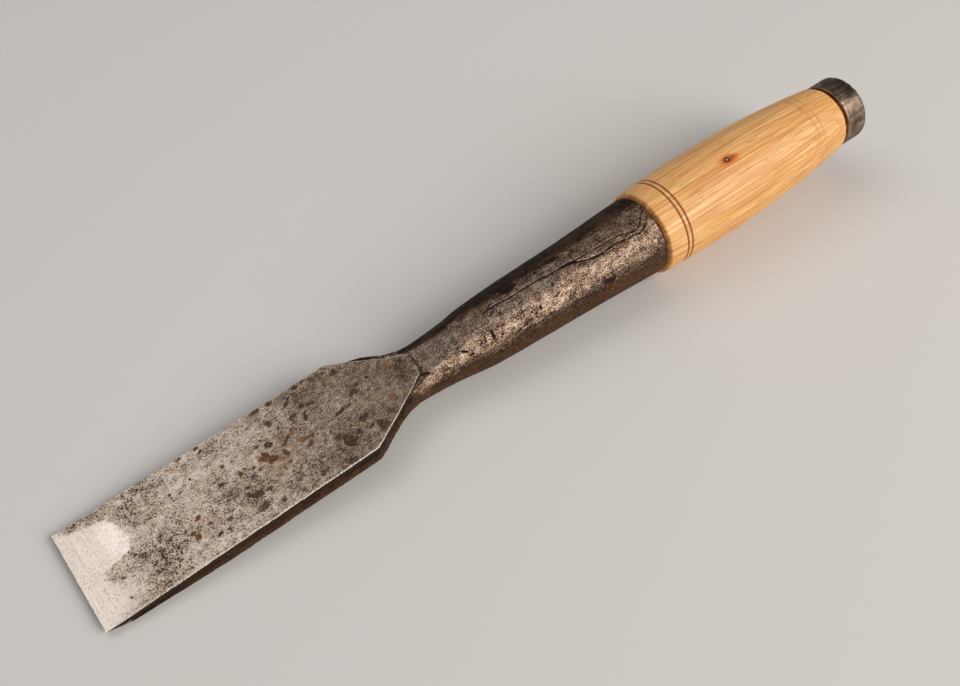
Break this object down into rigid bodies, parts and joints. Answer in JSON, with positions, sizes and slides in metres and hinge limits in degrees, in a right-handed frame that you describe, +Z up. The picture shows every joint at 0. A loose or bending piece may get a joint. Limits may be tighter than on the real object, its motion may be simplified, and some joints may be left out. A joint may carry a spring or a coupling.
{
  "type": "socket framing chisel",
  "caption": "Wide socket framing chisel: flat-backed forged blade with angled shoulders and tapered socket, turned wooden handle, steel striking hoop.",
  "frame": {"origin": "middle of the tool's footprint on the level surface it lies on, at the surface's height", "axes": "+X from the cutting edge towards the struck end, +Z up with the flat face of the blade uppermost, +Y across the blade to its left side"},
  "size_m": [0.4202, 0.0508, 0.0484],
  "materials": {
    "wrought_iron": "hammered, pitted and rubbed back, with dark brown patina in the hollows",
    "laid_steel": "grey, finely pitted and stained, lapped bright at the cutting edge",
    "ash_wood": "turned and oiled, satin, with fine lengthwise grain",
    "hoop_steel": "dull grey with fine scratches around it"
  },
  "bodies": {
    "blade": {"blade_socket": "wrought_iron", "steel_face": "laid_steel"},
    "handle": {"handle": "ash_wood", "hoop": "hoop_steel"}
  },
  "joints": [
    {"name": "handle_slide", "type": "slide", "parent": "blade", "child": "handle", "axis": [0.997, 0, 0.0779], "range_m": [0, 0.085]}
  ]
}
